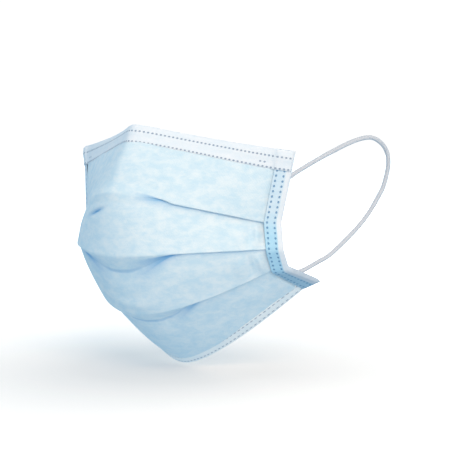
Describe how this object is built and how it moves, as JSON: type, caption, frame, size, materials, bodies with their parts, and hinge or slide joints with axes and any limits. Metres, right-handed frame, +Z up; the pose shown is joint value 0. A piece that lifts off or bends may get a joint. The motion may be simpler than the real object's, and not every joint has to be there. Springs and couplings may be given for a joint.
{
  "type": "surgical face mask",
  "caption": "Pleated disposable face mask opened at the middle, with bound edges, a bendable nose wire in the top band and an elastic ear loop at each side.",
  "frame": {"origin": "peak of the top edge at the middle, where the mask sits on the bridge of the nose", "axes": "+X across the face, +Y from the outside of the mask towards the face, +Z up"},
  "size_m": [0.1826, 0.1204, 0.1309],
  "materials": {
    "pleated_sheet": "matte pale blue nonwoven outside, white inside",
    "white_band": "matte white nonwoven with weld dots",
    "wire": "white coated flat wire",
    "hem": "matte pale blue-white nonwoven",
    "side_tape": "matte blue nonwoven with weld dots",
    "elastic": "soft white round elastic"
  },
  "bodies": {
    "root": {"mask_body": "pleated_sheet", "top_binding": "white_band", "nose_wire": "wire", "bottom_binding": "hem", "side_tape_left": "side_tape", "side_tape_right": "side_tape", "ear_loop_left": "elastic", "ear_loop_right": "elastic"}
  },
  "joints": []
}
